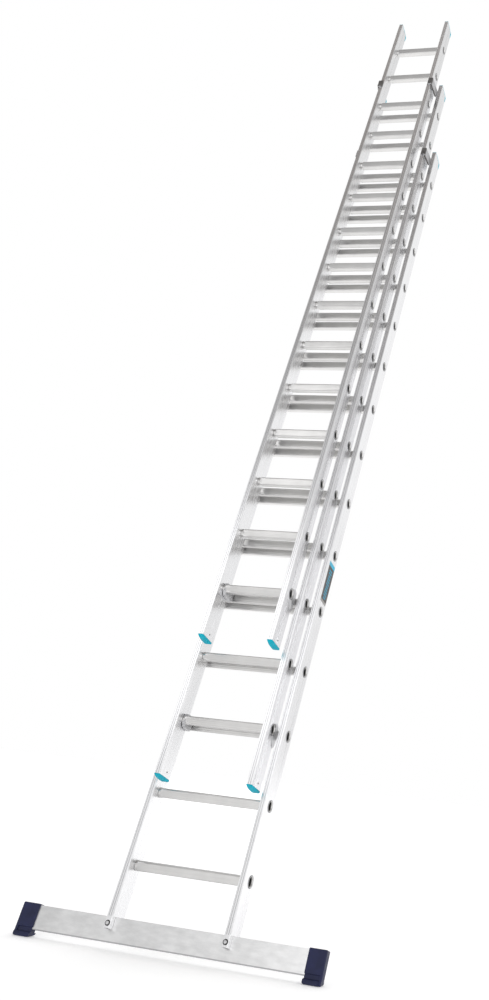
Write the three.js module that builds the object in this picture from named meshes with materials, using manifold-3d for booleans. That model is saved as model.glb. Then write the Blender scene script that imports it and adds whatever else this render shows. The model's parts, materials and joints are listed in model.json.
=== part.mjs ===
// Three-section push-up extension ladder, in millimetres, +Z up, leaning back toward +Y.
// Each section is built upright in its own ladder frame (X across, Y to the rear, Z along the
// stiles, Z = 0 at the lowest rung of the base) and the finished ladder is then leaned back.
import * as THREE from "three";
import { mergeVertices } from "three/addons/utils/BufferGeometryUtils.js";
import Module from "manifold-3d";

const wasm = await Module();
wasm.setup();

// Whole ladder
const LEAN_DEG = 15;
const RUNG_PITCH = 250;
const RUNGS = 15;
const GAP = 0.3;

// Stiles: rectangular hollow section, reaching past the first and last rungs
const STILE_WIDTH = 21;
const STILE_DEPTH = 86;
const STILE_WALL = 1.8;
const STILE_BELOW = 212;
const STILE_ABOVE = 3710;
const CAP_THICK = 6;
const CAP_BULGE = 11;

// Rungs: eight-sided tubes set through both walls of the stiles, with a rolled rim outside.
// They are turned by the lean, so that a flat is level underfoot.
const RUNG_FLATS = 32;
const RUNG_WALL = 1.8;
const RUNG_DEPTH = 52.8;
const RUNG_SIDES = 8;
const RIM_RADIUS = 21.5;
const RIM_THICK = 1.2;
const CORNER = 1 / Math.cos(Math.PI / RUNG_SIDES);
const RUNG_TURN = THREE.MathUtils.degToRad(LEAN_DEG);

// Sections, rear to front: half width over the stiles, depth of the front face, raise
const SECTIONS = [
  { name: "base", half: 225, front: 0, raise: 0 },
  { name: "mid", half: 187.4, front: -66, raise: 2 * RUNG_PITCH },
  { name: "top", half: 149.8, front: -148, raise: 4 * RUNG_PITCH },
];

// Rung hooks on the lowest rung of each raised section
const HOOK_THICK = 14;
const HOOK_TOP = 24;
const HOOK_BOTTOM = -30;
const HOOK_CLEARANCE = 1.8;

// Guide brackets at the top of the base and middle sections
const GUIDE_BOTTOM = 3611;
const GUIDE_HEIGHT = 48;
const GUIDE_PLATE = 4.5;
const GUIDE_CLEARANCE = 2.5;
const GUIDE_LIP = 16;
const GUIDE_TAB = 42;

// Stabiliser bar across the foot of the base, held by a bolt through a lug on each stile
const LUG_DEPTH = 23;
const LUG_BOTTOM = -210;
const BAR_TOP = -171.4;
const BAR_HEIGHT = 77;
const BAR_FRONT = 23.4;
const BAR_THICK = 20;
const BAR_HALF = 546;
const BAR_WALL = 2;
const BOLT_Z = -194;
const BOLT_RADIUS = 4;
const BOLT_HEAD_RADIUS = 7;
const BOLT_HEAD = 5;

// Moulded feet over the ends of the bar
const FOOT_INNER_X = 492;
const FOOT_OUTER_X = 555;
const FOOT_FRONT = 17;
const FOOT_REAR = 48;
const FOOT_TOP = -168;
const FOOT_WAIST = -252;
const SOLE_TOP = -256;
const SOLE_FRONT = 13;
const SOLE_REAR = 54;
const SOLE_BOTTOM = -275;

const aluminium = new THREE.MeshStandardMaterial({ color: 0xc9cbcd, metalness: 0.9, roughness: 0.4 });
const rungAluminium = new THREE.MeshStandardMaterial({ color: 0xbfc0c0, metalness: 0.9, roughness: 0.45 });
const rubber = new THREE.MeshStandardMaterial({ color: 0x232850, roughness: 0.6 });
const zinc = new THREE.MeshStandardMaterial({ color: 0xa8a9aa, metalness: 0.9, roughness: 0.35 });
const guideMetal = new THREE.MeshStandardMaterial({ color: 0x77787a, metalness: 0.7, roughness: 0.5 });

// A closed three.js geometry as a solid that can be joined and cut.
function solid(geometry) {
  const bare = new THREE.BufferGeometry();
  const flat = geometry.index ? geometry.toNonIndexed() : geometry;
  bare.setAttribute("position", flat.getAttribute("position"));
  const merged = mergeVertices(bare, 1e-4);
  return new wasm.Manifold(
    new wasm.Mesh({
      numProp: 3,
      vertProperties: merged.attributes.position.array,
      triVerts: new Uint32Array(merged.index.array),
    }),
  );
}

// A solid as a named mesh with flat faces.
function meshOf(name, body, material) {
  const { vertProperties, triVerts } = body.getMesh();
  const indexed = new THREE.BufferGeometry();
  indexed.setAttribute("position", new THREE.BufferAttribute(vertProperties, 3));
  indexed.setIndex(new THREE.BufferAttribute(triVerts, 1));
  const geometry = indexed.toNonIndexed();
  geometry.computeVertexNormals();
  const mesh = new THREE.Mesh(geometry, material);
  mesh.name = name;
  return mesh;
}

function box(x0, x1, y0, y1, z0, z1) {
  const geometry = new THREE.BoxGeometry(Math.abs(x1 - x0), y1 - y0, z1 - z0);
  geometry.translate((x0 + x1) / 2, (y0 + y1) / 2, (z0 + z1) / 2);
  return solid(geometry);
}

// A flat-sided bar lying along X, with a flat that is level once the ladder leans.
function barAlongX(flats, x0, x1, y, z) {
  const radius = (flats / 2) * CORNER;
  const length = Math.abs(x1 - x0);
  const start = Math.PI / RUNG_SIDES;
  const geometry = new THREE.CylinderGeometry(radius, radius, length, RUNG_SIDES, 1, false, start);
  geometry.rotateZ(Math.PI / 2);
  geometry.rotateX(RUNG_TURN);
  geometry.translate((x0 + x1) / 2, y, z);
  return solid(geometry);
}

// A solid with an outline in the X-Y plane, standing along Z.
function prismAlongZ(points, z0, z1) {
  const shape = new THREE.Shape(points.map(([x, y]) => new THREE.Vector2(x, y)));
  const geometry = new THREE.ExtrudeGeometry(shape, { depth: z1 - z0, bevelEnabled: false });
  geometry.translate(0, 0, z0);
  return solid(geometry);
}

// A solid with an outline in the Y-Z plane, lying along X.
function prismAlongX(points, x0, x1) {
  const shape = new THREE.Shape(points.map(([y, z]) => new THREE.Vector2(y, z)));
  const geometry = new THREE.ExtrudeGeometry(shape, { depth: Math.abs(x1 - x0), bevelEnabled: false });
  geometry.rotateX(Math.PI / 2);
  geometry.rotateZ(Math.PI / 2);
  geometry.translate(Math.min(x0, x1), 0, 0);
  return solid(geometry);
}

function join(bodies) {
  return bodies.reduce((whole, body) => whole.add(body));
}

// One stile: a hollow section with a hole for every rung, and closed by a moulded cap at each end.
// The base's stile ends instead in a front lug, cut back to sit on the stabiliser bar.
function stile(section, side) {
  const outer = side * section.half;
  const inner = side * (section.half - STILE_WIDTH);
  const rear = section.front + STILE_DEPTH;
  const isBase = section.name === "base";
  const z0 = isBase ? LUG_BOTTOM : section.raise - STILE_BELOW;
  const z1 = section.raise + STILE_ABOVE;
  const outside = box(inner, outer, section.front, rear, z0, z1);
  const hollow = box(
    inner + side * STILE_WALL,
    outer - side * STILE_WALL,
    section.front + STILE_WALL,
    rear - STILE_WALL,
    z0 - 1,
    z1 + 1,
  );
  const parts = [outside.subtract(hollow)];
  parts.push(box(inner, outer, section.front, rear, z1 - 1, z1 + CAP_THICK));
  if (!isBase) {
    parts.push(box(inner, outer, section.front, rear, z0 - CAP_BULGE, z0 + 1));
  }
  const cuts = [];
  for (let k = 0; k < RUNGS; k += 1) {
    const z = section.raise + k * RUNG_PITCH;
    cuts.push(barAlongX(RUNG_FLATS + 2 * GAP, inner - side, outer + side, section.front + RUNG_DEPTH, z));
  }
  if (isBase) {
    cuts.push(box(inner - side, outer + side, LUG_DEPTH, rear + 1, LUG_BOTTOM - 1, BAR_TOP + GAP));
    cuts.push(boltShape(side, BOLT_RADIUS + GAP, BOLT_RADIUS + GAP));
  }
  return join(parts).subtract(join(cuts));
}

// A bolt, or its hole, along Y through the lug and the bar.
function boltShape(side, shank, head) {
  const rearFace = BAR_FRONT + BAR_THICK + GAP;
  const front = -GAP - BOLT_HEAD;
  const profile = [
    [0, front],
    [head, front],
    [head, -GAP],
    [shank, -GAP],
    [shank, rearFace],
    [head, rearFace],
    [head, rearFace + BOLT_HEAD],
    [0, rearFace + BOLT_HEAD],
  ];
  const points = profile.map(([r, y]) => new THREE.Vector2(r, y));
  const geometry = new THREE.LatheGeometry(points, 6);
  geometry.translate(side * (SECTIONS[0].half - STILE_WIDTH / 2), 0, BOLT_Z);
  return solid(geometry);
}

// One rung: a tube with a rolled rim against the outer face of each stile.
function rung(section, index) {
  const end = section.half + GAP + RIM_THICK;
  const bore = (RUNG_FLATS / 2 - RUNG_WALL) * CORNER;
  const skin = (RUNG_FLATS / 2) * CORNER;
  const profile = [
    [bore, -end],
    [RIM_RADIUS, -end],
    [RIM_RADIUS, RIM_THICK - end],
    [skin, RIM_THICK - end],
    [skin, end - RIM_THICK],
    [RIM_RADIUS, end - RIM_THICK],
    [RIM_RADIUS, end],
    [bore, end],
    [bore, -end],
  ];
  const points = profile.map(([r, x]) => new THREE.Vector2(r, x));
  const geometry = new THREE.LatheGeometry(points, RUNG_SIDES, Math.PI / RUNG_SIDES);
  geometry.rotateZ(-Math.PI / 2);
  geometry.rotateX(RUNG_TURN);
  geometry.translate(0, section.front + RUNG_DEPTH, section.raise + index * RUNG_PITCH);
  return solid(geometry);
}

// The two hook castings behind the lowest rung of a raised section. Each fills the depth up to
// the rung of the section behind, and is cut to fit round its own rung.
function hooks(section, behind) {
  const centre = section.front + RUNG_DEPTH;
  const back = behind.front + RUNG_DEPTH - RUNG_FLATS / 2 - HOOK_CLEARANCE;
  const front = centre + RUNG_FLATS / 2 - 3;
  const outline = [
    [front, HOOK_BOTTOM + 8],
    [front + 8, HOOK_BOTTOM],
    [back - 8, HOOK_BOTTOM],
    [back, HOOK_BOTTOM + 12],
    [back, HOOK_TOP - 6],
    [back - 6, HOOK_TOP],
    [front, HOOK_TOP - 8],
  ].map(([y, z]) => [y, z + section.raise]);
  const edge = section.half - STILE_WIDTH - 1;
  const bore = RUNG_FLATS - 2 * RUNG_WALL;
  const castings = [-1, 1].map((side) => {
    const x0 = side * edge;
    const x1 = side * (edge - HOOK_THICK);
    return prismAlongX(outline, Math.min(x0, x1), Math.max(x0, x1));
  });
  return join(castings).subtract(barAlongX(bore, -edge - 1, edge + 1, centre, section.raise));
}

// A guide bracket: a tab on the inner face of its own stile, a plate running forward past the
// outer face of the section in front, and a lip over that section's front face.
function guide(section, ahead, side) {
  const own = section.half - STILE_WIDTH - GAP;
  const near = ahead.half + GUIDE_CLEARANCE;
  const far = near + GUIDE_PLATE;
  const lipRear = ahead.front - 1;
  const lipFront = lipRear - GUIDE_PLATE;
  const outline = [
    [own, section.front + GUIDE_TAB],
    [own, section.front - 2],
    [far, lipFront],
    [ahead.half - GUIDE_LIP, lipFront],
    [ahead.half - GUIDE_LIP, lipRear],
    [near, lipRear],
    [own - GUIDE_PLATE, section.front],
    [own - GUIDE_PLATE, section.front + GUIDE_TAB],
  ];
  const ordered = side > 0 ? outline : outline.map(([x, y]) => [-x, y]).reverse();
  const z0 = section.raise + GUIDE_BOTTOM;
  return prismAlongZ(ordered, z0, z0 + GUIDE_HEIGHT);
}

// The stabiliser bar: a hollow section with a hole for each bolt.
function stabiliser() {
  const rear = BAR_FRONT + BAR_THICK;
  const bottom = BAR_TOP - BAR_HEIGHT;
  const outside = box(-BAR_HALF, BAR_HALF, BAR_FRONT, rear, bottom, BAR_TOP);
  const hollow = box(
    -BAR_HALF - 1,
    BAR_HALF + 1,
    BAR_FRONT + BAR_WALL,
    rear - BAR_WALL,
    bottom + BAR_WALL,
    BAR_TOP - BAR_WALL,
  );
  const holes = [-1, 1].map((side) => boltShape(side, BOLT_RADIUS + GAP, BOLT_RADIUS + GAP));
  return outside.subtract(join([hollow, ...holes]));
}

// A foot: a cap over the end of the bar above a wider sole. The sole's face is cut at the
// lean angle, so that it lies flat on the floor.
function foot(side) {
  const x0 = side * FOOT_INNER_X;
  const x1 = side * FOOT_OUTER_X;
  const rise = Math.tan(THREE.MathUtils.degToRad(LEAN_DEG));
  const outline = [
    [SOLE_FRONT + 3, SOLE_BOTTOM + 3 * rise],
    [SOLE_REAR - 3, SOLE_BOTTOM + (SOLE_REAR - SOLE_FRONT - 3) * rise],
    [SOLE_REAR, SOLE_BOTTOM + (SOLE_REAR - SOLE_FRONT) * rise + 3],
    [FOOT_REAR, SOLE_TOP + 6],
    [FOOT_REAR, FOOT_TOP - 3],
    [FOOT_REAR - 3, FOOT_TOP],
    [FOOT_FRONT + 3, FOOT_TOP],
    [FOOT_FRONT, FOOT_TOP - 3],
    [FOOT_FRONT, FOOT_WAIST + 4],
    [FOOT_FRONT + 2, FOOT_WAIST + 2],
    [FOOT_FRONT + 2, FOOT_WAIST],
    [SOLE_FRONT, SOLE_TOP],
    [SOLE_FRONT, SOLE_BOTTOM + 5],
  ];
  const block = prismAlongX(outline, Math.min(x0, x1), Math.max(x0, x1));
  const pocket = box(
    x0 - side,
    side * (BAR_HALF + GAP),
    BAR_FRONT - GAP,
    BAR_FRONT + BAR_THICK + GAP,
    BAR_TOP - BAR_HEIGHT - GAP,
    BAR_TOP + GAP,
  );
  return block.subtract(pocket);
}

const ladder = new THREE.Group();
const SIDES = [
  { name: "left", sign: -1 },
  { name: "right", sign: 1 },
];

SECTIONS.forEach((section, level) => {
  for (const { name, sign } of SIDES) {
    ladder.add(meshOf(`${section.name}_stile_${name}`, stile(section, sign), aluminium));
  }
  for (let k = 0; k < RUNGS; k += 1) {
    const plain = rung(section, k);
    const body = level > 0 && k === 0 ? plain.add(hooks(section, SECTIONS[level - 1])) : plain;
    ladder.add(meshOf(`${section.name}_rung_${k + 1}`, body, rungAluminium));
  }
  if (level < SECTIONS.length - 1) {
    for (const { name, sign } of SIDES) {
      const body = guide(section, SECTIONS[level + 1], sign);
      ladder.add(meshOf(`${section.name}_guide_${name}`, body, guideMetal));
    }
  }
});

ladder.add(meshOf("stabiliser_bar", stabiliser(), aluminium));
for (const { name, sign } of SIDES) {
  ladder.add(meshOf(`foot_${name}`, foot(sign), rubber));
  ladder.add(meshOf(`bar_bolt_${name}`, boltShape(sign, BOLT_RADIUS, BOLT_HEAD_RADIUS), zinc));
}

// Lean the ladder back, then set its soles on Z = 0 and centre it on X and Y.
ladder.rotation.x = -THREE.MathUtils.degToRad(LEAN_DEG);
ladder.updateMatrixWorld(true);
const bounds = new THREE.Box3().setFromObject(ladder, true);
const middle = bounds.getCenter(new THREE.Vector3());
ladder.position.set(-middle.x, -middle.y, -bounds.min.z);

const group = new THREE.Group();
group.name = "extension_ladder";
group.add(ladder);

export default group;
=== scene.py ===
"""Looks of a three-section push-up extension ladder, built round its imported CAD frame."""

import json
import math

import bmesh
import bpy
import numpy as np
from mathutils import Matrix, Vector


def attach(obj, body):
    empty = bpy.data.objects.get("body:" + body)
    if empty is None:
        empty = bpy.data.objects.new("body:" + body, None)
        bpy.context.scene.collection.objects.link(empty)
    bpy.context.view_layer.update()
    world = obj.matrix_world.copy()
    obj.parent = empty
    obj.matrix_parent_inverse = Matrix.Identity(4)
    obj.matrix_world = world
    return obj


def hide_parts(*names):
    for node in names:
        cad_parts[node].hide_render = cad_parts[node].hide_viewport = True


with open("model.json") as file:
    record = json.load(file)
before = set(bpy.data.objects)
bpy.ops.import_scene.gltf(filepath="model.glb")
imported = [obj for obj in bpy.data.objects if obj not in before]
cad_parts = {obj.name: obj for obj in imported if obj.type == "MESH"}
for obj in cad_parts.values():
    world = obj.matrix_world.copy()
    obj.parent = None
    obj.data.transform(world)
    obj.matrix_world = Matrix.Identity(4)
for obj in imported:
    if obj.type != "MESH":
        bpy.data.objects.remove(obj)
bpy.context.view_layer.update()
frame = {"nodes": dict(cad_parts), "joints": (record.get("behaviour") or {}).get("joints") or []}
nodes = frame["nodes"]

# Sizes, in metres
WALL = 0.0018
CORNER = 0.0016
GROOVE_WIDE = 0.0013
GROOVE_DEEP = 0.0007
CAP_DEEP = 0.006
CAP_BULGE = 0.011
CLEAR = 0.0003
HOLE_RADIUS = 0.0166
HOLE_LIP = 0.002
LUG_DEEP = 0.023
RUNG_HALF = 0.0160
RIB_DEEP = 0.0007
FLUTE_DEEP = 0.0003
RUNGS = 15

# Points or steps round a stile's corner, a stile's hole, a rung and a quarter turn of a foot
CORNER_STEPS = 4
HOLE_SIDES = 32
AROUND = 96
FOOT_STEPS = 6

# The ladder's own frame: X across, Y to the rear, Z along the stiles. The slides run along Z.
along = Vector(frame["joints"][0]["axis"]).normalized()
rear = Vector((0, along.z, -along.y))
LEAN = Matrix(((1, 0, 0), tuple(rear), tuple(along))).transposed()
LEAN_NP = np.array(LEAN)
LEAN_ANGLE = math.atan2(along.y, along.z)


def local_box(node):
    """Lowest and highest corner of a CAD node in the ladder's own frame."""
    co = np.array([v.co for v in nodes[node].data.vertices]) @ LEAN_NP
    return co.min(0), co.max(0)


def rung_centre(section, number):
    """Centre of a rung's CAD node. A raised section's rung 1 has hooks, which put its centre off."""
    return np.mean(local_box(f"{section}_rung_{number}"), axis=0)


def rung_pitch(section):
    """Step from one rung's centre to the next."""
    return rung_centre(section, 3) - rung_centre(section, 2)


# ---------------------------------------------------------------- materials


def new_material(name):
    """A new material, with its node tree and its shader."""
    mat = bpy.data.materials.new(name)
    mat.use_nodes = True
    tree = mat.node_tree
    return mat, tree, tree.nodes["Principled BSDF"]


def noise(tree, scale, stretch, detail):
    """Noise in object coordinates, stretched by the mapping's scale."""
    coord = tree.nodes.new("ShaderNodeTexCoord")
    mapping = tree.nodes.new("ShaderNodeMapping")
    mapping.inputs["Scale"].default_value = stretch
    tex = tree.nodes.new("ShaderNodeTexNoise")
    tex.inputs["Scale"].default_value = scale
    tex.inputs["Detail"].default_value = detail
    tex.inputs["Roughness"].default_value = 0.55
    tree.links.new(coord.outputs["Object"], mapping.inputs["Vector"])
    tree.links.new(mapping.outputs["Vector"], tex.inputs["Vector"])
    return tex


def ramp(tree, source, stops):
    """Colours a socket's values by stops of (value, colour)."""
    node = tree.nodes.new("ShaderNodeValToRGB")
    band = node.color_ramp
    band.elements[0].position, band.elements[0].color = stops[0][0], (*stops[0][1], 1)
    band.elements[1].position, band.elements[1].color = stops[-1][0], (*stops[-1][1], 1)
    for place, colour in stops[1:-1]:
        band.elements.new(place).color = (*colour, 1)
    tree.links.new(source, node.inputs["Fac"])
    return node


def span(tree, source, from_min, from_max, to_min, to_max):
    """Maps a socket's values from one range to another and holds them there beyond its ends."""
    node = tree.nodes.new("ShaderNodeMapRange")
    node.inputs["From Min"].default_value = from_min
    node.inputs["From Max"].default_value = from_max
    node.inputs["To Min"].default_value = to_min
    node.inputs["To Max"].default_value = to_max
    tree.links.new(source, node.inputs["Value"])
    return node.outputs["Result"]


def blend_colours(tree, factor, first, second):
    """Mixes two colours, each a socket or a constant."""
    node = tree.nodes.new("ShaderNodeMix")
    node.data_type = "RGBA"
    tree.links.new(factor, node.inputs["Factor"])
    for name, colour in (("A", first), ("B", second)):
        socket = next(i for i in node.inputs if i.identifier == name + "_Color")
        if isinstance(colour, tuple):
            socket.default_value = colour
        else:
            tree.links.new(colour, socket)
    return next(o for o in node.outputs if o.identifier == "Result_Color")


def bump(tree, shader, source, strength, distance):
    """Uses a socket as the height of the shader's bump."""
    node = tree.nodes.new("ShaderNodeBump")
    node.inputs["Strength"].default_value = strength
    node.inputs["Distance"].default_value = distance
    tree.links.new(source, node.inputs["Height"])
    tree.links.new(node.outputs["Normal"], shader.inputs["Normal"])


def brushed(name, dark, light, stretch, rough, metallic=1.0, strength=0.06):
    """Extruded aluminium: fine die lines along one axis over broad soft staining."""
    mat, tree, shader = new_material(name)
    lines = noise(tree, 60.0, stretch, 4.0)
    stain = noise(tree, 9.0, (1, 1, 0.5), 3.0)
    mix = tree.nodes.new("ShaderNodeMix")
    mix.inputs["Factor"].default_value = 0.45
    tree.links.new(lines.outputs["Fac"], mix.inputs["A"])
    tree.links.new(stain.outputs["Fac"], mix.inputs["B"])
    colour = ramp(tree, mix.outputs["Result"], [(0.32, dark), (0.68, light)])
    tree.links.new(colour.outputs["Color"], shader.inputs["Base Color"])
    shader.inputs["Metallic"].default_value = metallic
    gloss = span(tree, lines.outputs["Fac"], 0.3, 0.7, rough - 0.06, rough + 0.08)
    tree.links.new(gloss, shader.inputs["Roughness"])
    bump(tree, shader, lines.outputs["Fac"], strength, 0.0004)
    return mat


def moulded(name, dark, light, rough, grain, strength=0.2, specular=0.5):
    """Moulded rubber or plastic: fine grain with soft change of tone."""
    mat, tree, shader = new_material(name)
    fine = noise(tree, grain, (1, 1, 1), 5.0)
    broad = noise(tree, 30.0, (1, 1, 1), 2.0)
    colour = ramp(tree, broad.outputs["Fac"], [(0.3, dark), (0.7, light)])
    tree.links.new(colour.outputs["Color"], shader.inputs["Base Color"])
    gloss = span(tree, broad.outputs["Fac"], 0.3, 0.7, rough - 0.08, rough + 0.1)
    tree.links.new(gloss, shader.inputs["Roughness"])
    shader.inputs["Specular IOR Level"].default_value = specular
    bump(tree, shader, fine.outputs["Fac"], strength, 0.0003)
    return mat


def label_film(name, dark, light, rough):
    """Printed film with hardly any grain."""
    return moulded(name, dark, light, rough, grain=600.0, strength=0.05)


def paint_bar_light_and_shade(mat):
    """Darkens the bar along its lower edge with painted shade and brightens it toward its right end with
    painted light.
    """
    tree = mat.node_tree
    shader = tree.nodes["Principled BSDF"]
    plain = shader.inputs["Base Color"].links[0].from_socket
    coord = tree.nodes.new("ShaderNodeTexCoord")
    split = tree.nodes.new("ShaderNodeSeparateXYZ")
    tree.links.new(coord.outputs["Object"], split.inputs["Vector"])
    lit = tree.nodes.new("ShaderNodeVectorMath")
    lit.operation = "SCALE"
    tree.links.new(plain, lit.inputs[0])
    # Painted light: the colour grows brighter toward the bar's right end.
    tree.links.new(span(tree, split.outputs["X"], 0.0, 0.42, 0.97, 1.20), lit.inputs["Scale"])
    # Painted shade: a grey band along the bar's lower edge.
    bottom = local_box("stabiliser_bar")[0][2]
    edge = span(tree, split.outputs["Z"], bottom + 0.0020, bottom + 0.0040, 0.0, 1.0)
    edge_shade = (0.42, 0.42, 0.43, 1)
    tree.links.new(blend_colours(tree, edge, edge_shade, lit.outputs["Vector"]), shader.inputs["Base Color"])


STILE = brushed(
    "stile_aluminium", (0.84, 0.84, 0.85), (0.94, 0.94, 0.95), (1, 1, 0.004), rough=0.28, strength=0.03,
)
# Painted shade in the stiles' grooves: darker aluminium on the groove floors.
SHADED_GROOVE = brushed("stile_groove_painted_shade", (0.36, 0.36, 0.37), (0.50, 0.50, 0.51), (1, 1, 0.02), rough=0.45)
RUNG = brushed("rung_aluminium", (0.54, 0.535, 0.53), (0.68, 0.675, 0.665), (0.02, 1, 1), rough=0.32)
# Painted shade round the rungs' rolled rims: darker aluminium than the tube.
RIM_SHADE = brushed("rung_rim_painted_shade", (0.20, 0.20, 0.21), (0.38, 0.38, 0.39), (1, 1, 1), rough=0.30)
# Painted shade inside the rungs' bores: near-black aluminium.
SHADED_BORE = brushed("rung_bore_painted_shade", (0.05, 0.05, 0.05), (0.12, 0.12, 0.12), (0.1, 1, 1), rough=0.55)
BAR = brushed("bar_aluminium", (0.68, 0.68, 0.68), (0.88, 0.88, 0.88), (0.4, 1, 1), rough=0.34)
# Painted shade along the bar's lower edge and painted light toward its right end.
paint_bar_light_and_shade(BAR)
CAST = brushed(
    "cast_aluminium", (0.48, 0.48, 0.49), (0.64, 0.64, 0.65), (1, 1, 1),
    rough=0.5, metallic=0.9, strength=0.3,
)
HOOK = brushed(
    "hook_plate_metal", (0.66, 0.66, 0.67), (0.80, 0.80, 0.81), (1, 1, 1),
    rough=0.42, metallic=0.9, strength=0.15,
)
GUIDE = brushed(
    "guide_metal", (0.50, 0.50, 0.51), (0.66, 0.66, 0.67), (1, 1, 0.4), rough=0.42, metallic=0.9,
)
LIP = moulded("guide_lip_plastic", (0.060, 0.056, 0.054), (0.11, 0.105, 0.10), rough=0.5, grain=900.0)
ZINC = brushed("zinc_plate", (0.55, 0.55, 0.56), (0.75, 0.75, 0.76), (1, 1, 1), rough=0.25)
RUBBER = moulded(
    "navy_rubber", (0.007, 0.010, 0.042), (0.014, 0.018, 0.068), rough=0.45, grain=1400.0, specular=0.35,
)
TEAL = moulded(
    "teal_plastic", (0.0, 0.35, 0.46), (0.0, 0.43, 0.56),
    rough=0.45, grain=1100.0, strength=0.1, specular=0.15,
)
LABEL = label_film("label_body", (0.045, 0.038, 0.036), (0.07, 0.06, 0.056), 0.45)
LABEL_BAND = label_film("label_band", (0.0, 0.36, 0.55), (0.01, 0.42, 0.62), 0.35)
LABEL_PRINT = label_film("label_print", (0.0, 0.30, 0.50), (0.01, 0.40, 0.60), 0.45)
LABEL_TIP = label_film("label_tip", (0.26, 0.25, 0.24), (0.34, 0.33, 0.32), 0.4)
# Dark for the small fixings, and painted shade for the bolts' recesses and the hollow of the stiles'
# lugs.
DARK_AND_SHADE = moulded("fixing_dark_and_painted_shade", (0.03, 0.03, 0.03), (0.06, 0.06, 0.06), rough=0.5, grain=900.0)

# ---------------------------------------------------------------- mesh helpers


def place(name, mesh, body, slot, stands_for=(), shift=(0, 0, 0)):
    """Hangs a mesh given in the ladder's own frame on a body of the assembly."""
    obj = bpy.data.objects.new(name, mesh)
    bpy.context.scene.collection.objects.link(obj)
    obj.matrix_world = LEAN.to_4x4() @ Matrix.Translation(shift)
    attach(obj, body)
    if stands_for:
        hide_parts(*stands_for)


def solid_mesh(name, verts, faces, bevel, segments, mats):
    """A closed flat-faced solid with its edges rounded over."""
    bm = bmesh.new()
    made = [bm.verts.new(v) for v in verts]
    for f in faces:
        bm.faces.new([made[i] for i in f])
    return finish_solid(name, bm, bevel, segments, mats)


def finish_solid(name, bm, bevel, segments, mats):
    """Rounds over every edge that turns by more than `sharp_angle` and shades the result smooth."""
    sharp_angle = 0.35
    bmesh.ops.recalc_face_normals(bm, faces=bm.faces[:])
    sharp = [e for e in bm.edges if e.calc_face_angle(0.0) > sharp_angle]
    bmesh.ops.bevel(
        bm, geom=sharp, offset=bevel, segments=segments, profile=0.5,
        affect="EDGES", clamp_overlap=True,
    )
    for f in bm.faces:
        f.smooth = True
    mesh = bpy.data.meshes.new(name)
    bm.to_mesh(mesh)
    bm.free()
    for mat in mats:
        mesh.materials.append(mat)
    weigh_normals(mesh)
    return mesh


def weigh_normals(mesh):
    """Face-weighted corner normals, so that broad faces stay flat beside rounded edges."""
    normals = np.zeros((len(mesh.vertices), 3))
    for poly in mesh.polygons:
        for v in poly.vertices:
            normals[v] += np.array(poly.normal) * poly.area
    lengths = np.linalg.norm(normals, axis=1)
    normals /= np.maximum(lengths, 1e-12)[:, None]
    mesh.normals_split_custom_set_from_vertices([tuple(n) for n in normals])


def prism(name, outline, lo, hi, axis, bevel, segments, mats):
    """An outline swept along X (outline in Y-Z) or along Z (outline in X-Y)."""
    n = len(outline)
    if axis == "x":
        verts = [(lo, a, b) for a, b in outline] + [(hi, a, b) for a, b in outline]
    else:
        verts = [(a, b, lo) for a, b in outline] + [(a, b, hi) for a, b in outline]
    faces = [list(range(n)), list(range(n, 2 * n))]
    faces += [[i, (i + 1) % n, n + (i + 1) % n, n + i] for i in range(n)]
    return solid_mesh(name, verts, faces, bevel, segments, mats)


def from_cad(name, node, bevel, segments, mats):
    """A CAD node's own solid in the ladder's frame, with its edges rounded over."""
    bm = bmesh.new()
    bm.from_mesh(nodes[node].data)
    bm.transform(LEAN.to_4x4().inverted())
    bmesh.ops.remove_doubles(bm, verts=bm.verts[:], dist=1e-5)
    bmesh.ops.dissolve_limit(bm, angle_limit=0.02, verts=bm.verts[:], edges=bm.edges[:])
    return finish_solid(name, bm, bevel, segments, mats)


def disc_stack(name, centre, axis, rings, sides, mats):
    """A turned piece: rings of (radius, distance) along a unit axis, closed at both ends."""
    edge_round = 0.0004
    axis = Vector(axis)
    side = axis.orthogonal().normalized()
    other = axis.cross(side)
    verts = []
    for radius, dist in rings:
        for i in range(sides):
            a = 2 * math.pi * i / sides
            spoke = side * math.cos(a) + other * math.sin(a)
            verts.append(Vector(centre) + axis * dist + spoke * radius)
    faces = [list(range(sides)), list(range((len(rings) - 1) * sides, len(rings) * sides))]
    for r in range(len(rings) - 1):
        for i in range(sides):
            j = (i + 1) % sides
            faces.append([r * sides + i, r * sides + j, (r + 1) * sides + j, (r + 1) * sides + i])
    return solid_mesh(name, verts, faces, edge_round, 1, mats)


# ---------------------------------------------------------------- stiles


def corner(cx, cy, start):
    """Points round a quarter circle of radius CORNER."""
    angles = [start + math.pi / 2 * i / CORNER_STEPS for i in range(CORNER_STEPS + 1)]
    return [(cx + CORNER * math.cos(a), cy + CORNER * math.sin(a)) for a in angles]


def grooves(x_from, x_to, y, deep):
    """Two fine grooves across a flange from x_from to x_to, cut toward deep."""
    pts = []
    step = 1 if x_to > x_from else -1
    for part in (0.3, 0.7):
        mid = x_from + (x_to - x_from) * part
        for off, depth in ((-0.6, 0), (-0.35, 1), (0.35, 1), (0.6, 0)):
            pts.append((mid + step * off * GROOVE_WIDE, y + deep * depth))
    return pts


def stile_ring(x_in, x_out, y0, y1):
    """The stile's section, from the outer face's rear corner round the inner face to its front one.
    The two flat faces are given as the numbers of the points at their ends."""
    r = CORNER
    right = corner(x_out - r, y1 - r, 0)
    back = grooves(x_out - r, x_in + r, y1, -GROOVE_DEEP)
    left = corner(x_in + r, y1 - r, math.pi / 2)
    low = corner(x_in + r, y0 + r, math.pi)
    front = grooves(x_in + r, x_out - r, y0, GROOVE_DEEP)
    last = corner(x_out - r, y0 + r, 1.5 * math.pi)
    ring = right + back + left + low + front + last
    outer = (len(ring) - 1, 0)
    inner = (len(right + back + left) - 1, len(right + back + left))
    return ring, outer, inner


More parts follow.
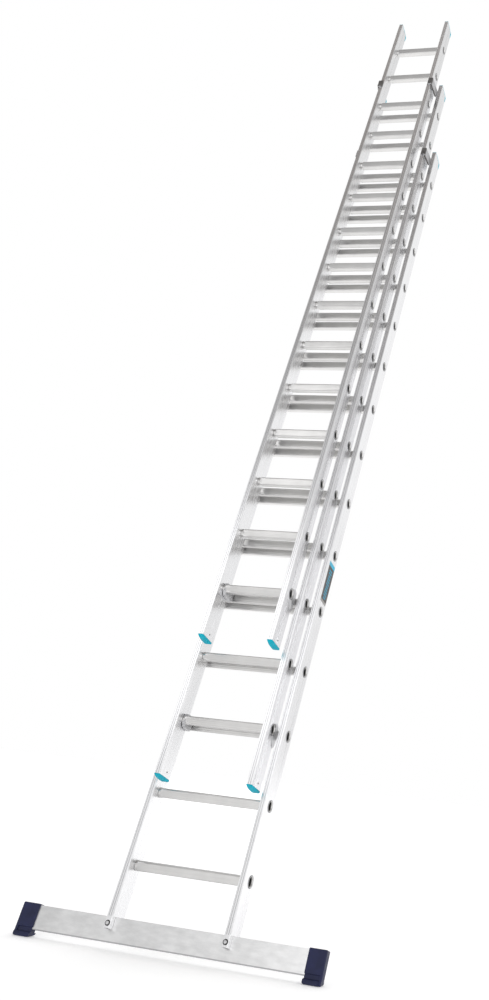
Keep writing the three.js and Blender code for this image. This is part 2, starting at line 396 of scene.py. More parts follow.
def is_groove(a, b, y0, y1):
    """Whether a stretch of the stile's section touches the floor of a groove."""
    same = 1e-6
    floors = (y0 + GROOVE_DEEP, y1 - GROOVE_DEEP)
    return any(abs(y - floor) < same for y in (a[1], b[1]) for floor in floors)


def hole_ring(x, y, z):
    """Points round a hole, from its lowest point toward the rear."""
    turns = [2 * math.pi * i / HOLE_SIDES for i in range(HOLE_SIDES)]
    return [(x, y + HOLE_RADIUS * math.sin(t), z - HOLE_RADIUS * math.cos(t)) for t in turns]


def drilled_wall(verts, faces, x, middle, levels, holes, face, count, inward):
    """Adds a stile's flat face at x, with a lipped hole between each two levels.

    middle is the holes' place in Y, face holds the numbers of the points at the face's ends in
    the stile's section, and count is the number of points in that section.
    """
    a, b = face
    mids = []
    for z in levels:
        mids.append(len(verts))
        verts.append((x, middle, z))
    half = HOLE_SIDES // 2
    for level, hole in enumerate(holes):
        first = len(verts)
        for depth in (0, HOLE_LIP):
            verts.extend(hole_ring(x + inward * depth, middle, hole))
        low_a, low_b = level * count + a, level * count + b
        up_a, up_b = low_a + count, low_b + count
        # a lies at the front on the outer face and at the rear on the inner face
        toward_rear = [first + i for i in range(half + 1)]
        toward_front = [first + (HOLE_SIDES - i) % HOLE_SIDES for i in range(half + 1)]
        side_a, side_b = (toward_front, toward_rear) if inward < 0 else (toward_rear, toward_front)
        faces.append([low_a, mids[level]] + side_a + [mids[level + 1], up_a])
        faces.append([mids[level], low_b, up_b, mids[level + 1]] + side_b[::-1])
        for i in range(HOLE_SIDES):
            j = (i + 1) % HOLE_SIDES
            quad = [first + i, first + j, first + HOLE_SIDES + j, first + HOLE_SIDES + i]
            faces.append(quad if inward < 0 else quad[::-1])


def build_stile(section, side):
    """One stile, with a round hole through each flat face at every rung."""
    node = f"{section}_stile_{side}"
    lo, hi = local_box(node)
    x_out, x_in = (hi[0], lo[0]) if side == "right" else (-lo[0], -hi[0])
    y0, y1 = lo[1], hi[1]
    centres = [rung_centre(section, k + 1) for k in range(RUNGS)]
    if section == "base":
        z0 = local_box("stabiliser_bar")[1][2] + CLEAR
    else:
        z0 = z_stile_end(section, False)
        centres[0] = centres[1] - rung_pitch(section)
    middle = centres[1][1]
    holes = [c[2] for c in centres]
    levels = [z0] + [(a + b) / 2 for a, b in zip(holes, holes[1:])] + [z_stile_end(section, True)]
    ring, outer, inner = stile_ring(x_in, x_out, y0, y1)
    n = len(ring)
    # stretches of the section shorter than this are rounded or slanting, and shaded smooth
    short = CORNER * 0.6
    verts = [(x, y, z) for z in levels for x, y in ring]
    faces, smooth, shaded_grooves = [], [], []
    for level in range(len(levels) - 1):
        for i in range(n):
            j = (i + 1) % n
            if (i, j) in (outer, inner):
                continue
            faces.append([level * n + i, level * n + j, (level + 1) * n + j, (level + 1) * n + i])
            if is_groove(ring[i], ring[j], y0, y1):
                shaded_grooves.append(len(faces) - 1)
            if i <= CORNER_STEPS or math.dist(ring[i], ring[j]) < short:
                smooth.append(len(faces) - 1)
    faces.append(list(range(n))[::-1])
    faces.append([(len(levels) - 1) * n + i for i in range(n)])
    for x, face, inward in ((x_out, outer, -1), (x_in, inner, 1)):
        drilled_wall(verts, faces, x, middle, levels, holes, face, n, inward)
    if section == "base":
        add_lug(verts, faces, x_in, x_out, y0, lo[2], z0)
    if side == "left":
        verts = [(-x, y, z) for x, y, z in verts]
        faces = [f[::-1] for f in faces]
    mesh = bpy.data.meshes.new(node)
    mesh.from_pydata(verts, [], faces)
    mesh.materials.append(STILE)
    mesh.materials.append(SHADED_GROOVE)
    for i in smooth:
        mesh.polygons[i].use_smooth = True
    # The groove floors take the darker aluminium: painted shade.
    for i in shaded_grooves:
        mesh.polygons[i].material_index = 1
    place(f"{node}_extrusion", mesh, f"{section}_section", "stile_aluminium", (node,))


def z_stile_end(section, top):
    """Height at which a stile's metal ends and its cap begins."""
    lo, hi = local_box(f"{section}_stile_right")
    if top:
        return hi[2] - CAP_DEEP
    return lo[2] + CAP_BULGE


def add_lug(verts, faces, x_in, x_out, y0, z0, z1):
    """The front of the base's stile, which runs on down in front of the bar as an open channel."""
    depth = y0 + LUG_DEEP
    ring = [
        (x_out, depth), (x_out - WALL, depth), (x_out - WALL, y0 + WALL),
        (x_in + WALL, y0 + WALL), (x_in + WALL, depth), (x_in, depth),
    ]
    ring += corner(x_in + CORNER, y0 + CORNER, math.pi)
    ring += grooves(x_in + CORNER, x_out - CORNER, y0, GROOVE_DEEP)
    ring += corner(x_out - CORNER, y0 + CORNER, 1.5 * math.pi)
    first, n = len(verts), len(ring)
    for z in (z0, z1):
        verts.extend((x, y, z) for x, y in ring)
    for i in range(n):
        j = (i + 1) % n
        faces.append([first + i, first + j, first + n + j, first + n + i])
    faces.append([first + i for i in range(n)][::-1])
    faces.append([first + n + i for i in range(n)])


# ---------------------------------------------------------------- rungs

# Where a rung's section changes, as (distance outward, radius): from the stile's inner face for the
# collar, from its outer face for the rolled rim, and from the rung's end for the mouth of its bore
COLLAR = [
    (-0.0052, 0.0168), (-0.0044, 0.0172), (-0.0034, 0.0179), (-0.0022, 0.0182),
    (-0.0010, 0.0180), (-0.0003, 0.0174), (0.0, 0.0164),
]
ROLLED_RIM = [(0.0, 0.0164), (0.0001, 0.0200), (0.0005, 0.0214), (0.0010, 0.0212)]
MOUTH = [
    (-0.0001, 0.0198), (0.0, 0.0184), (-0.0006, 0.0170),
    (-0.0020, 0.0160), (-0.0060, 0.0153), (-0.0120, 0.0149),
]


def rounded_box_radius(theta, half, r):
    """Distance from the centre to a square of half width `half` with corners of radius r."""
    c, s = abs(math.cos(theta)), abs(math.sin(theta))
    flat = half / max(c, s)
    if min(c, s) * flat <= half - r:
        return flat
    k = half - r
    b = k * (c + s)
    return b + math.sqrt(max(b * b - (2 * k * k - r * r), 0))


def rung_section(half):
    """The rung's section, tread level on a leaning ladder: a rounded box with a ribbed tread."""
    nose_round, edge_round = 0.0050, 0.0026
    face = half * 0.99
    pts = []
    for i in range(AROUND):
        t = 2 * math.pi * i / AROUND
        front_top = math.cos(t) < 0 < math.sin(t)
        d = rounded_box_radius(t, half, nose_round if front_top else edge_round)
        y, z = d * math.cos(t), d * math.sin(t)
        if z > face and i % 4 < 2:
            z -= RIB_DEEP
        if y < -face and i % 6 == 0:
            y += FLUTE_DEEP
        pts.append((
            y * math.cos(LEAN_ANGLE) - z * math.sin(LEAN_ANGLE),
            y * math.sin(LEAN_ANGLE) + z * math.cos(LEAN_ANGLE),
        ))
    return pts


def blend_rings(a, b, part):
    """Points part of the way from one ring to another."""
    return [(p[0] * (1 - part) + q[0] * part, p[1] * (1 - part) + q[1] * part) for p, q in zip(a, b)]


def turned_circle(radius):
    """A circle whose points start at the same angle as the level rung section's."""
    turns = [2 * math.pi * i / AROUND + LEAN_ANGLE for i in range(AROUND)]
    return [(radius * math.cos(t), radius * math.sin(t)) for t in turns]


def rung_stops(half_width, stile_width, end):
    """A rung's right half as (x, section), from where the box begins to change to inside the bore."""
    round_end_radius, bore_radius, bore_depth = 0.0165, 0.0140, 0.020
    boxy = rung_section(RUNG_HALF)
    round_end = turned_circle(round_end_radius)
    wall_in = half_width - stile_width
    stops = [
        (wall_in - 0.0135, boxy),
        (wall_in - 0.0105, blend_rings(boxy, round_end, 0.22)),
        (wall_in - 0.0065, blend_rings(boxy, round_end, 0.85)),
    ]
    for start, part in ((wall_in, COLLAR), (half_width, ROLLED_RIM), (end, MOUTH)):
        stops += [(start + dx, turned_circle(radius)) for dx, radius in part]
    stops.append((wall_in - bore_depth, turned_circle(bore_radius)))
    return stops


def rung_material(band):
    """Number of a rung's material between two stops: 0 for the tube, 1 the rim's darker aluminium and 2
    the bore's near-black, both painted shade.
    The box has three stops before the collar. The mouth's first stop still belongs to the rim."""
    first_rim = 3 + len(COLLAR)
    first_mouth = first_rim + len(ROLLED_RIM) + 1
    first_shaded_bore = first_mouth + 3
    if band >= first_shaded_bore:
        return 2
    if first_rim <= band < first_mouth:
        return 1
    return 0


def rung_mesh(name, half_width, stile_width, end):
    """A rung swaged into both stiles: collar inside, rolled rim outside, bore right through."""
    sharp_angle = 0.6
    stops = rung_stops(half_width, stile_width, end)
    rings = [(-x, ring) for x, ring in stops][::-1] + stops
    verts = [(x, y, z) for x, ring in rings for y, z in ring]
    faces, face_mats = [], []
    for r in range(len(rings)):
        nxt = (r + 1) % len(rings)
        band = len(stops) - 2 - r if r < len(stops) - 1 else r - len(stops)
        for i in range(AROUND):
            j = (i + 1) % AROUND
            faces.append([r * AROUND + i, r * AROUND + j, nxt * AROUND + j, nxt * AROUND + i])
            face_mats.append(rung_material(band))
    mesh = bpy.data.meshes.new(name)
    mesh.from_pydata(verts, [], faces)
    # The rim and the bore carry painted shade: a darker rim and a near-black bore.
    for mat in (RUNG, RIM_SHADE, SHADED_BORE):
        mesh.materials.append(mat)
    for poly, number in zip(mesh.polygons, face_mats):
        poly.material_index = number
    bm = bmesh.new()
    bm.from_mesh(mesh)
    bmesh.ops.recalc_face_normals(bm, faces=bm.faces[:])
    for f in bm.faces:
        f.smooth = True
    for e in bm.edges:
        if e.calc_face_angle(0.0) > sharp_angle:
            e.smooth = False
    bm.to_mesh(mesh)
    bm.free()
    return mesh


# ---------------------------------------------------------------- caps and small fixings


def cap(name, section, side, top):
    """A teal end cap, domed along its depth: thin at the top end, fuller underneath."""
    inset, rim, flat, steps = 0.0002, 0.0012, 0.0015, 18
    front_power, rear_power, rear_share = 2.4, 5.0, 0.75
    lo, hi = local_box(f"{section}_stile_{side}")
    away = 1 if top else -1
    tip = hi[2] if top else lo[2]
    flange = (z_stile_end(section, top) - tip) * -away
    y0, y1 = lo[1] + inset, hi[1] - inset
    dome = []
    for i in range(steps + 1):
        t = i / steps
        fall = abs(2 * t - 1) ** (front_power if t < 0.5 else rear_power)
        drop = (flange - rim - flat) * fall * (1.0 if t < 0.5 else rear_share)
        dome.append((y0 + (y1 - y0) * t, tip - away * drop))
    base = tip - away * flange
    outline = dome + [(y1, base), (y0, base)]
    mesh = prism(name, outline, lo[0] + inset, hi[0] - inset, "x", bevel=0.0011, segments=3, mats=[TEAL])
    place(name, mesh, f"{section}_section", "teal_plastic")


def cap_skirt(name, section, side):
    """The top cap's tongue down the stile's rear edge."""
    proud = 0.0005
    lo, hi = local_box(f"{section}_stile_{side}")
    z_edge = z_stile_end(section, True)
    y1 = hi[1] + CLEAR
    outline = [
        (y1, z_edge), (y1, z_edge - 0.034), (y1 - 0.004, z_edge - 0.036),
        (y1 - 0.012, z_edge - 0.006), (y1 - 0.014, z_edge),
    ]
    mesh = prism(name, outline, lo[0] - proud, hi[0] + proud, "x", bevel=0.0004, segments=2, mats=[TEAL])
    place(name, mesh, f"{section}_section", "teal_plastic")


def cap_screw(name, section, side, inner):
    """The small dark fixing above a lower cap, on the stile's inner or outer face."""
    back, height = 0.050, 0.029
    rings = [(0.0030, -0.0005), (0.0030, 0.0005), (0.0022, 0.0011), (0.0012, 0.0009)]
    lo, hi = local_box(f"{section}_stile_{side}")
    on_right = (side == "right") != inner
    at = (hi[0] if on_right else lo[0], lo[1] + back, lo[2] + height)
    mesh = disc_stack(name, at, (1 if on_right else -1, 0, 0), rings, sides=20, mats=[DARK_AND_SHADE])
    place(name, mesh, f"{section}_section", "zinc_steel")


def build_rungs(section):
    """A section's rungs, all of one shape, a pitch apart."""
    s_lo, s_hi = local_box(f"{section}_stile_right")
    end = local_box(f"{section}_rung_2")[1][0]
    mesh = rung_mesh(f"{section}_rung", s_hi[0], s_hi[0] - s_lo[0], end)
    pitch = rung_pitch(section)
    second = rung_centre(section, 2)
    for k in range(RUNGS):
        at = second + pitch * (k - 1)
        name = f"{section}_rung_{k + 1:02d}_tube"
        node = f"{section}_rung_{k + 1}"
        place(name, mesh, f"{section}_section", "rung_aluminium", (node,), tuple(at))


for section in ("base", "mid", "top"):
    raised = section != "base"
    for side in ("left", "right"):
        build_stile(section, side)
        cap(f"{section}_cap_top_{side}", section, side, True)
        if raised:
            cap(f"{section}_cap_bottom_{side}", section, side, False)
        cap_skirt(f"{section}_cap_skirt_{side}", section, side)
        if raised:
            cap_screw(f"{section}_cap_screw_out_{side}", section, side, False)
            cap_screw(f"{section}_cap_screw_in_{side}", section, side, True)
    build_rungs(section)

# ---------------------------------------------------------------- hooks and guides


def casting_outline(centre, y1):
    """Side view of a hook casting, from in front of the rung at `centre` back to y1."""
    y0, z = centre[1] - 0.012, centre[2]
    return [
        (y0, z + 0.020), (y0 - 0.004, z + 0.006), (y0 - 0.004, z - 0.014), (y0 + 0.006, z - 0.027),
        (y0 + 0.018, z - 0.030), (y1 - 0.010, z - 0.030), (y1 - 0.002, z - 0.022), (y1, z - 0.008),
        (y1, z + 0.018), (y1 - 0.006, z + 0.024), (y1 - 0.022, z + 0.024), (y0 + 0.014, z + 0.0225),
    ]


def plate_outline(centre):
    """Side view of a hook plate: round the rung's end at the front, a tab down and to the rear."""
    radius = 0.0226
    tab = [(radius * math.cos(a), radius * math.sin(a)) for a in np.radians(range(75, -100, -15))]
    tab += [(0.012, -0.038), (0.022, -0.053), (0.033, -0.057), (0.0415, -0.050), (0.0435, -0.020)]
    tab += [(0.0435, 0.006), (0.040, 0.020), (0.030, 0.027), (0.018, 0.029)]
    return [(centre[1] + dy, centre[2] + dz) for dy, dz in tab]


def build_hooks(section):
    """The two hooks at a raised section's lowest rung: each has a casting and two rivets on the
    stile's inner face and a plate on its outer face. They stop short of the rung behind."""
    gap, wide, thick, short = 0.0012, 0.0135, 0.0024, 0.0028
    rings = [(0.0038, -0.001), (0.0038, 0.0010), (0.0028, 0.0022), (0.0012, 0.0026)]
    body = f"{section}_section"
    s_lo, s_hi = local_box(f"{section}_stile_right")
    centre = rung_centre(section, 2) - rung_pitch(section)
    casting = casting_outline(centre, local_box(f"{section}_rung_1")[1][1] - short)
    plate = plate_outline(centre)
    edge, outside = s_lo[0] - gap, s_hi[0] + CLEAR
    for side, sign in (("left", -1), ("right", 1)):
        name = f"{section}_hook_{side}"
        ends = sorted((sign * edge, sign * (edge - wide)))
        mesh = prism(name, casting, ends[0], ends[1], "x", bevel=0.0022, segments=3, mats=[CAST])
        place(name, mesh, body, "rung_aluminium")
        name = f"{section}_hook_plate_{side}"
        ends = sorted((sign * outside, sign * (outside + thick)))
        mesh = prism(name, plate, ends[0], ends[1], "x", bevel=0.0005, segments=1, mats=[HOOK])
        place(name, mesh, body, "rung_aluminium")
        for n, (dy, dz) in enumerate(((0.022, 0.0), (0.032, -0.016))):
            name = f"{section}_hook_rivet_{side}_{n}"
            at = (sign * (edge - wide), centre[1] + dy, centre[2] + dz)
            rivet = disc_stack(name, at, (-sign, 0, 0), rings, sides=18, mats=[ZINC])
            place(name, rivet, body, "zinc_steel")


build_hooks("mid")
build_hooks("top")


def pad_outline(near, far, front):
    """Plan of the dark pad that wraps the bracket's lip in front of the stile and turns its corner."""
    return [
        (near - 0.0008, front - 0.0008), (near - 0.0008, front - 0.0064),
        (far + 0.0010, front - 0.0064), (far + 0.0010, front + 0.006),
        (far - 0.0002, front + 0.006), (far - 0.0002, front - 0.0056),
        (near, front - 0.0056), (near, front - 0.0008),
    ]


def build_guide(section, ahead, side):
    """A guide bracket: bent plate, dark pad over its lip, dark liner strip below and two rivets."""
    pad_reach, stile_gap, past = 0.016, 0.0070, 0.0005
    strip_low, strip_high = 0.0085, 0.0002
    rivet_in, rivet_back, rivet_heights = 0.0045, 0.026, (0.013, 0.035)
    rings = [(0.0045, -0.0005), (0.0045, 0.0010), (0.0032, 0.0024), (0.0014, 0.0028)]
    node = f"{section}_guide_{side}"
    body = f"{section}_section"
    sign = 1 if side == "right" else -1
    mesh = from_cad(node + "_plate", node, bevel=0.0009, segments=2, mats=[GUIDE])
    place(node + "_plate", mesh, body, "guide_steel", (node,))
    lo, hi = local_box(node)
    a_lo, a_hi = local_box(f"{ahead}_stile_right")
    front = a_lo[1]
    near, far = a_hi[0] - pad_reach, a_hi[0] + stile_gap
    outline = [(sign * x, y) for x, y in pad_outline(near, far, front)]
    ends = (lo[2] - past, hi[2] + past)
    pad = prism(node + "_lip_pad", outline, ends[0], ends[1], "z", bevel=0.0003, segments=2, mats=[LIP])
    place(node + "_lip_pad", pad, body, "guide_steel")
    own_lo = local_box(f"{section}_stile_right")[0]
    own, own_front = own_lo[0] - CLEAR, own_lo[1]
    strip = [
        (far - 0.0062, front + 0.004), (far - 0.0002, front + 0.004),
        (own - 0.0006, own_front - 0.004), (own - 0.0066, own_front - 0.004),
    ]
    outline = [(sign * x, y) for x, y in strip]
    ends = (lo[2] - strip_low, lo[2] - strip_high)
    liner = prism(node + "_liner", outline, ends[0], ends[1], "z", bevel=0.0010, segments=2, mats=[LIP])
    place(node + "_liner", liner, body, "guide_steel")
    for n, height in enumerate(rivet_heights):
        at = (sign * (own - rivet_in), own_front + rivet_back, lo[2] + height)
        rivet = disc_stack(f"{node}_rivet_{n}", at, (-sign, 0, 0), rings, sides=20, mats=[ZINC])
        place(f"{node}_rivet_{n}", rivet, body, "zinc_steel")


for section, ahead in (("base", "mid"), ("mid", "top")):
    for side in ("left", "right"):
        build_guide(section, ahead, side)

# ---------------------------------------------------------------- stabiliser bar, bolts and feet

mesh = from_cad("stabiliser_bar_tube", "stabiliser_bar", bevel=0.0012, segments=2, mats=[BAR])
place("stabiliser_bar_tube", mesh, "base_section", "bar_aluminium", ("stabiliser_bar",))


def build_bolt(side):
    """The bolt through a lug and the bar: hex head on a dark dished disc of painted shade for the recess
    round it, and a nut behind.
    """
    head_deep, nut_gap = 0.0053, 0.0002
    node = f"bar_bolt_{side}"
    lo, hi = local_box(node)
    x, z = (lo[0] + hi[0]) / 2, (lo[2] + hi[2]) / 2
    face = lo[1] + head_deep
    forward = (0, -1, 0)
    rings = [(0.0062, 0.0008), (0.0062, 0.0036), (0.0050, 0.0048), (0.0020, 0.0052)]
    head = disc_stack(node + "_head", (x, face, z), forward, rings, sides=6, mats=[ZINC])
    place(node + "_head", head, "base_section", "zinc_steel", (node,))
    # Painted shade: a dark dished disc round the head stands for the recess's shadow.
    rings = [(0.0092, -0.0002), (0.0094, 0.0008), (0.0082, 0.0013), (0.0068, 0.0009)]
    recess_shade = disc_stack(node + "_washer", (x, face, z), forward, rings, sides=32, mats=[DARK_AND_SHADE])
    place(node + "_washer", recess_shade, "base_section", "zinc_steel")
    rings = [(0.0072, 0), (0.0072, 0.0046)]
    nut = disc_stack(node + "_nut", (x, hi[1] - nut_gap, z), forward, rings, sides=6, mats=[ZINC])
    place(node + "_nut", nut, "base_section", "zinc_steel")


def loft(name, rings, mat):
    """A closed skin through rings of points, capped at both ends, smooth along its bends."""
    sharp_angle = 0.7
    n = len(rings[0])
    verts = [p for ring in rings for p in ring]
    faces = [list(range(n)), [(len(rings) - 1) * n + i for i in range(n)]]
    for r in range(len(rings) - 1):
        for i in range(n):
            j = (i + 1) % n
            faces.append([r * n + i, r * n + j, (r + 1) * n + j, (r + 1) * n + i])
    bm = bmesh.new()
    made = [bm.verts.new(v) for v in verts]
    for f in faces:
        bm.faces.new([made[i] for i in f])
    bmesh.ops.recalc_face_normals(bm, faces=bm.faces[:])
    for f in bm.faces:
        f.smooth = True
    for e in bm.edges:
        e.smooth = e.calc_face_angle(0.0) < sharp_angle
    mesh = bpy.data.meshes.new(name)
    bm.to_mesh(mesh)
    bm.free()
    mesh.materials.append(mat)
    return mesh


def on_floor(y):
    """Height just over the floor in the ladder's own frame, where the floor slopes."""
    just_over = 0.0001
    return y * along.y / along.z + just_over


def stand(name, mesh, stands_for=()):
    """Places a mesh given in the ladder's frame with its vertices turned to world coordinates,
    so that its box is the true one."""
    mesh.transform(LEAN.to_4x4())
    obj = bpy.data.objects.new(name, mesh)
    bpy.context.scene.collection.objects.link(obj)
    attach(obj, "base_section")
    if stands_for:
        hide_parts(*stands_for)


def sole_outline(y0, y1, top):
    """The sole's side view: a round nose, a flat underside on the floor, and a round heel."""
    nose_deep, nose_high = 0.011, 0.009
    turns = [math.pi / 2 * k / FOOT_STEPS for k in range(FOOT_STEPS + 1)]
    nose = [
        (y0 + nose_deep * (1 - math.sin(a)), top - nose_high * (1 - math.cos(a)))
        for a in turns
    ]
    toe = [
        (y0, on_floor(y0) + 0.0060), (y0 + 0.0012, on_floor(y0) + 0.0026),
        (y0 + 0.0038, on_floor(y0 + 0.0038) + 0.0006), (y0 + 0.0075, on_floor(y0 + 0.0075)),
    ]
    heel = [
        (y1 - 0.0085, on_floor(y1 - 0.0085)), (y1 - 0.0040, on_floor(y1 - 0.0040) + 0.0012),
        (y1 - 0.0010, on_floor(y1) + 0.0040), (y1, on_floor(y1) + 0.0080),
        (y1 - 0.0020, top - 0.0010), (y1 - 0.0060, top),
    ]
    return nose + toe + heel


def sole_rings(sole, sign, inner, wall):
    """The sole's side view carried across the foot, rolled up from the floor at its inner edge."""
    roll = 0.0085
    rings = []
    for k in range(FOOT_STEPS + 1):
        turn = math.pi / 2 * k / FOOT_STEPS
        x = sign * (inner + roll * (1 - math.cos(turn)))
        lift = roll * (1 - math.sin(turn))
        rings.append([(x, y, max(z, on_floor(y) + lift)) for y, z in sole])
    rings.append([(sign * wall, y, z) for y, z in sole])
    return rings


def end_outline(y0, y1, front, back, top, low):
    """The end wall's side view, from y0 to y1 at the floor and from front to back at the top."""
    return [
        (front + 0.0005, top - 0.0008), (front + 0.0005, low - 0.001), (y0 + 0.0010, low - 0.006),
        (y0 + 0.0014, on_floor(y0) + 0.006), (y0 + 0.006, on_floor(y0 + 0.006) + 0.0005),
        (y1 - 0.006, on_floor(y1 - 0.006) + 0.0005), (y1 - 0.001, on_floor(y1) + 0.006),
        (back - 0.0005, low), (back - 0.0005, top - 0.0008),
    ]


def build_foot(side):
    """A moulded foot: a sleeve over the bar, a narrower core under it, a solid sole rolled at its
    inner edge, and an end wall."""
    cover, heel_out, end_thick = 0.0064, 0.0062, 0.009
    lap, neck = 0.006, 0.007
    node = f"foot_{side}"
    lo, hi = local_box(node)
    bar_lo = local_box("stabiliser_bar")[0]
    sign = 1 if side == "right" else -1
    inner, outer = (lo[0], hi[0]) if sign > 0 else (-hi[0], -lo[0])
    front, back = bar_lo[1] - cover, hi[1] - heel_out
    core_top, core_low = bar_lo[2] + lap, bar_lo[2] - neck
    wall = outer - end_thick

    def across(name, outline, x0, x1, bevel, segments):
        """Carries a side view across the foot, on whichever side the foot is."""
        ends = sorted((sign * x0, sign * x1))
        return prism(name, outline, ends[0], ends[1], "x", bevel, segments, [RUBBER])

    sleeve = [(front, core_top), (front, hi[2]), (back, hi[2]), (back, core_top)]
    mesh = across(node + "_sleeve", sleeve, inner, outer - 0.001, bevel=0.0030, segments=3)
    stand(node + "_sleeve", mesh, (node,))
    core = [
        (front + 0.0045, core_low - 0.002), (front + 0.0045, core_top + 0.004),
        (back - 0.001, core_top + 0.004), (back - 0.001, core_low - 0.002),
    ]
    mesh = across(node + "_core", core, inner + 0.0015, outer - 0.004, bevel=0.0008, segments=1)
    stand(node + "_core", mesh)
    rings = sole_rings(sole_outline(lo[1], hi[1], core_low), sign, inner, wall)
    stand(node + "_sole", loft(node + "_sole", rings, RUBBER))
    end = end_outline(lo[1], hi[1], front, back, hi[2], core_low)
    mesh = across(node + "_end", end, wall - 0.001, outer, bevel=0.0026, segments=3)
    stand(node + "_end", mesh)


def build_lug_plug(side):
    """The dark inside of the channel that closes the foot of the base's stile: a block of painted shade
    for its hollow.
    """
    inset = 0.0021
    lo, hi = local_box(f"base_stile_{side}")
    outline = [
        (lo[1] + 0.0022, lo[2] + 0.0012), (lo[1] + 0.0022, lo[2] + 0.020),
        (lo[1] + 0.0222, lo[2] + 0.020), (lo[1] + 0.0222, lo[2] + 0.0012),
    ]
    name = f"lug_hollow_shade_{side}"
    # Painted shade: the near-black block stands for the shade inside the open channel.
    mesh = prism(name, outline, lo[0] + inset, hi[0] - inset, "x", bevel=0.0006, segments=1, mats=[DARK_AND_SHADE])
    place(name, mesh, "base_section", "stile_aluminium")


for side in ("left", "right"):
    build_bolt(side)
    build_lug_plug(side)
    build_foot(side)


def build_label():
    """The label on the right base stile: plain bands and generic bars, no lettering."""
    film, print_film = 0.0002, 0.00026
    front, rear_edge, low, high = 0.0165, 0.0805, 0.037, 0.211
    band_high, tip_high = 0.017, 0.011
    bars, first_bar, bar_step, bar_high = 11, 0.020, 0.0118, 0.0050
    narrow, wider = 0.40, 0.12
    body, band, marks, tip = range(4)
    lo, hi = local_box("base_stile_right")
    rung = rung_centre("base", 5)[2]
    y0, y1 = lo[1] + front, lo[1] + rear_edge
    z0, z1 = rung + low, rung + high
    verts, faces, face_mats = [], [], []

    def patch(ya, yb, za, zb, lift, number):
        """Adds a thin raised rectangle in one of the label's materials."""
        base = len(verts)
        for dx in (0, lift):
            for y, z in ((ya, za), (yb, za), (yb, zb), (ya, zb)):
                verts.append((hi[0] + dx, y, z))
        faces.extend([[base + i for i in f] for f in (
            (0, 3, 2, 1), (4, 5, 6, 7), (0, 1, 5, 4), (1, 2, 6, 5), (2, 3, 7, 6), (3, 0, 4, 7))])
        face_mats.extend([number] * 6)

    patch(y0, y1, z0, z1, film, body)
    patch(y0, y1, z1 - band_high, z1, print_film, band)
    patch(y0, y1, z0, z0 + tip_high, print_film, tip)
    for row in range(bars):
        width = narrow + wider * ((row * 3) % 4) / 3
        ya, yb = (y0 + (y1 - y0) * (0.50 + end * width / 2) for end in (-1, 1))
        za = z0 + first_bar + row * bar_step
        patch(ya, yb, za, za + bar_high, print_film, marks)
    mesh = bpy.data.meshes.new("base_label")
    mesh.from_pydata(verts, [], faces)
    for mat in (LABEL, LABEL_BAND, LABEL_PRINT, LABEL_TIP):
        mesh.materials.append(mat)
    for poly, number in zip(mesh.polygons, face_mats):
        poly.material_index = number
    place("base_label", mesh, "base_section", "label_film")


build_label()

# ---------------------------------------------------------------- stage, light, camera


def floor_material():
    """Pale floor with a painted glow that brightens away from the ladder until it meets the white
    backdrop.
    """
    mat, tree, shader = new_material("studio_floor")
    tone = noise(tree, 0.6, (1, 1, 1), 3.0)
    shade = ramp(tree, tone.outputs["Fac"], [(0.3, (0.90, 0.90, 0.905)), (0.7, (0.94, 0.94, 0.94))])
    tree.links.new(shade.outputs["Color"], shader.inputs["Base Color"])
    tree.links.new(shade.outputs["Color"], shader.inputs["Emission Color"])
    coord = tree.nodes.new("ShaderNodeTexCoord")
    away = tree.nodes.new("ShaderNodeVectorMath")
    away.operation = "LENGTH"
    tree.links.new(coord.outputs["Object"], away.inputs[0])
    # Painted light: the floor glows, weakly near the ladder and more strongly away from it.
    glow = span(tree, away.outputs["Value"], 1.0, 5.0, 0.26, 0.62)
    tree.links.new(glow, shader.inputs["Emission Strength"])
    shader.inputs["Roughness"].default_value = 0.85
    return mat


def build_floor():
    """A wide floor, a little under the feet so that they do not lie in it."""
    reach, under = 30, -0.0005
    signs = ((-1, -1), (1, -1), (1, 1), (-1, 1))
    corners = [(reach * across, reach * deep, under) for across, deep in signs]
    mesh = bpy.data.meshes.new("floor")
    mesh.from_pydata(corners, [], [(0, 1, 2, 3)])
    mesh.materials.append(floor_material())
    floor = bpy.data.objects.new("floor", mesh)
    bpy.context.scene.collection.objects.link(floor)


build_floor()


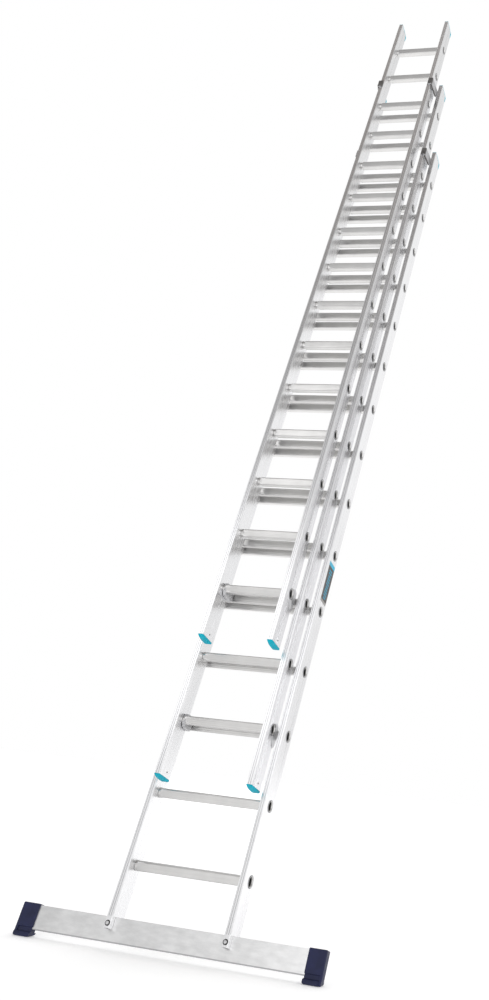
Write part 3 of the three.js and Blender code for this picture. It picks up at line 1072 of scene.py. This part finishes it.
def studio_world():
    """White behind the ladder. In front, a bright screen low down under a warm grey ceiling."""
    world = bpy.data.worlds.new("studio")
    bpy.context.scene.world = world
    world.use_nodes = True
    tree = world.node_tree
    sky = tree.nodes["Background"]
    coord = tree.nodes.new("ShaderNodeTexCoord")
    split = tree.nodes.new("ShaderNodeSeparateXYZ")
    tree.links.new(coord.outputs["Generated"], split.inputs["Vector"])
    near = ramp(tree, split.outputs["Z"], [
        (0.0, (0.86, 0.86, 0.86)), (0.22, (0.86, 0.86, 0.86)), (0.36, (0.79, 0.79, 0.795)),
        (0.50, (0.68, 0.68, 0.685)), (0.64, (0.56, 0.56, 0.565)), (0.74, (0.41, 0.41, 0.41)),
        (0.84, (0.275, 0.258, 0.248)), (0.91, (0.23, 0.20, 0.178)), (1.0, (0.32, 0.30, 0.29)),
    ])
    lit = tree.nodes.new("ShaderNodeVectorMath")
    lit.operation = "SCALE"
    tree.links.new(near.outputs["Color"], lit.inputs[0])
    rise = span(tree, split.outputs["X"], -0.60, -0.25, 0.90, 1.12)
    low_rise = span(tree, split.outputs["X"], -0.44, -0.38, 0.96, 1.22)
    mixed = tree.nodes.new("ShaderNodeMix")
    tree.links.new(span(tree, split.outputs["Z"], 0.12, 0.24, 0.0, 1.0), mixed.inputs["Factor"])
    tree.links.new(low_rise, mixed.inputs["A"])
    tree.links.new(rise, mixed.inputs["B"])
    tree.links.new(mixed.outputs["Result"], lit.inputs["Scale"])
    side = ramp(tree, split.outputs["Z"], [
        (0.0, (0.74, 0.74, 0.74)), (0.15, (0.92, 0.92, 0.92)), (0.35, (1.0, 1.0, 1.0)),
        (0.50, (0.94, 0.94, 0.94)), (0.68, (0.68, 0.68, 0.675)), (1.0, (0.60, 0.60, 0.59)),
    ])
    white = (1, 1, 1, 1)
    to_right = span(tree, split.outputs["X"], 0.02, 0.24, 0.0, 1.0)
    back = blend_colours(tree, to_right, white, side.outputs["Color"])
    toward = span(tree, split.outputs["Y"], 0.12, -0.30, 0.0, 1.0)
    sky_colour = blend_colours(tree, toward, back, lit.outputs["Vector"])
    tree.links.new(sky_colour, sky.inputs["Color"])
    sky.inputs["Strength"].default_value = 1.0


def area_light(name, at, target, size, power, mirrored):
    """A rectangular light, never seen by the camera. mirrored lets it show in the metal."""
    data = bpy.data.lights.new(name, "AREA")
    data.shape = "RECTANGLE"
    data.size, data.size_y = size
    data.energy = power
    obj = bpy.data.objects.new(name, data)
    bpy.context.scene.collection.objects.link(obj)
    obj.location = at
    obj.rotation_euler = (Vector(target) - Vector(at)).to_track_quat("-Z", "Y").to_euler()
    obj.visible_camera = False
    obj.visible_glossy = mirrored


studio_world()
area_light("overhead", (0.5, 4.5, 8.0), (0, 0.5, 0), (6, 6), power=115, mirrored=False)
area_light("side", (5.0, -5.0, 3.5), (0, 0, 1.5), (3, 4), power=60, mirrored=True)
area_light("softbox", (-1.3, -2.8, 2.85), (0.0, -0.3, 0.9), (1.3, 1.5), power=6.2, mirrored=True)


def build_camera():
    """The camera, low to the right of the ladder's front and rolled with the picture. Its place,
    angles, lens and shift were solved from the photograph, in the ladder's own frame. The place is
    given from the middle of the stiles, their front face and the lowest rung."""
    right_of_middle, before_face, below_rung = 1.62907, 3.31614, 0.50279
    yaw, pitch, roll = 0.282331, 0.583183, 0.191802
    face = local_box("base_stile_right")[0][1]
    eye = Vector((right_of_middle, face - before_face, rung_centre("base", 1)[2] - below_rung))
    forward = Vector((-math.sin(yaw) * math.cos(pitch), math.cos(yaw) * math.cos(pitch), math.sin(pitch)))
    level_right = Vector((math.cos(yaw), math.sin(yaw), 0))
    level_up = level_right.cross(forward)
    right = level_right * math.cos(roll) + level_up * math.sin(roll)
    up = -level_right * math.sin(roll) + level_up * math.cos(roll)
    turn = LEAN @ Matrix((right, up, -forward)).transposed()
    data = bpy.data.cameras.new("camera")
    data.sensor_width = 36
    data.lens = 35.188
    data.shift_x = -0.21419
    data.shift_y = -0.05287
    data.clip_end = 200
    camera = bpy.data.objects.new("camera", data)
    bpy.context.scene.collection.objects.link(camera)
    camera.matrix_world = Matrix.Translation(LEAN @ eye) @ turn.to_4x4()
    bpy.context.scene.camera = camera


build_camera()

scene = bpy.context.scene
scene.view_settings.view_transform = "Standard"
scene.view_settings.look = "None"
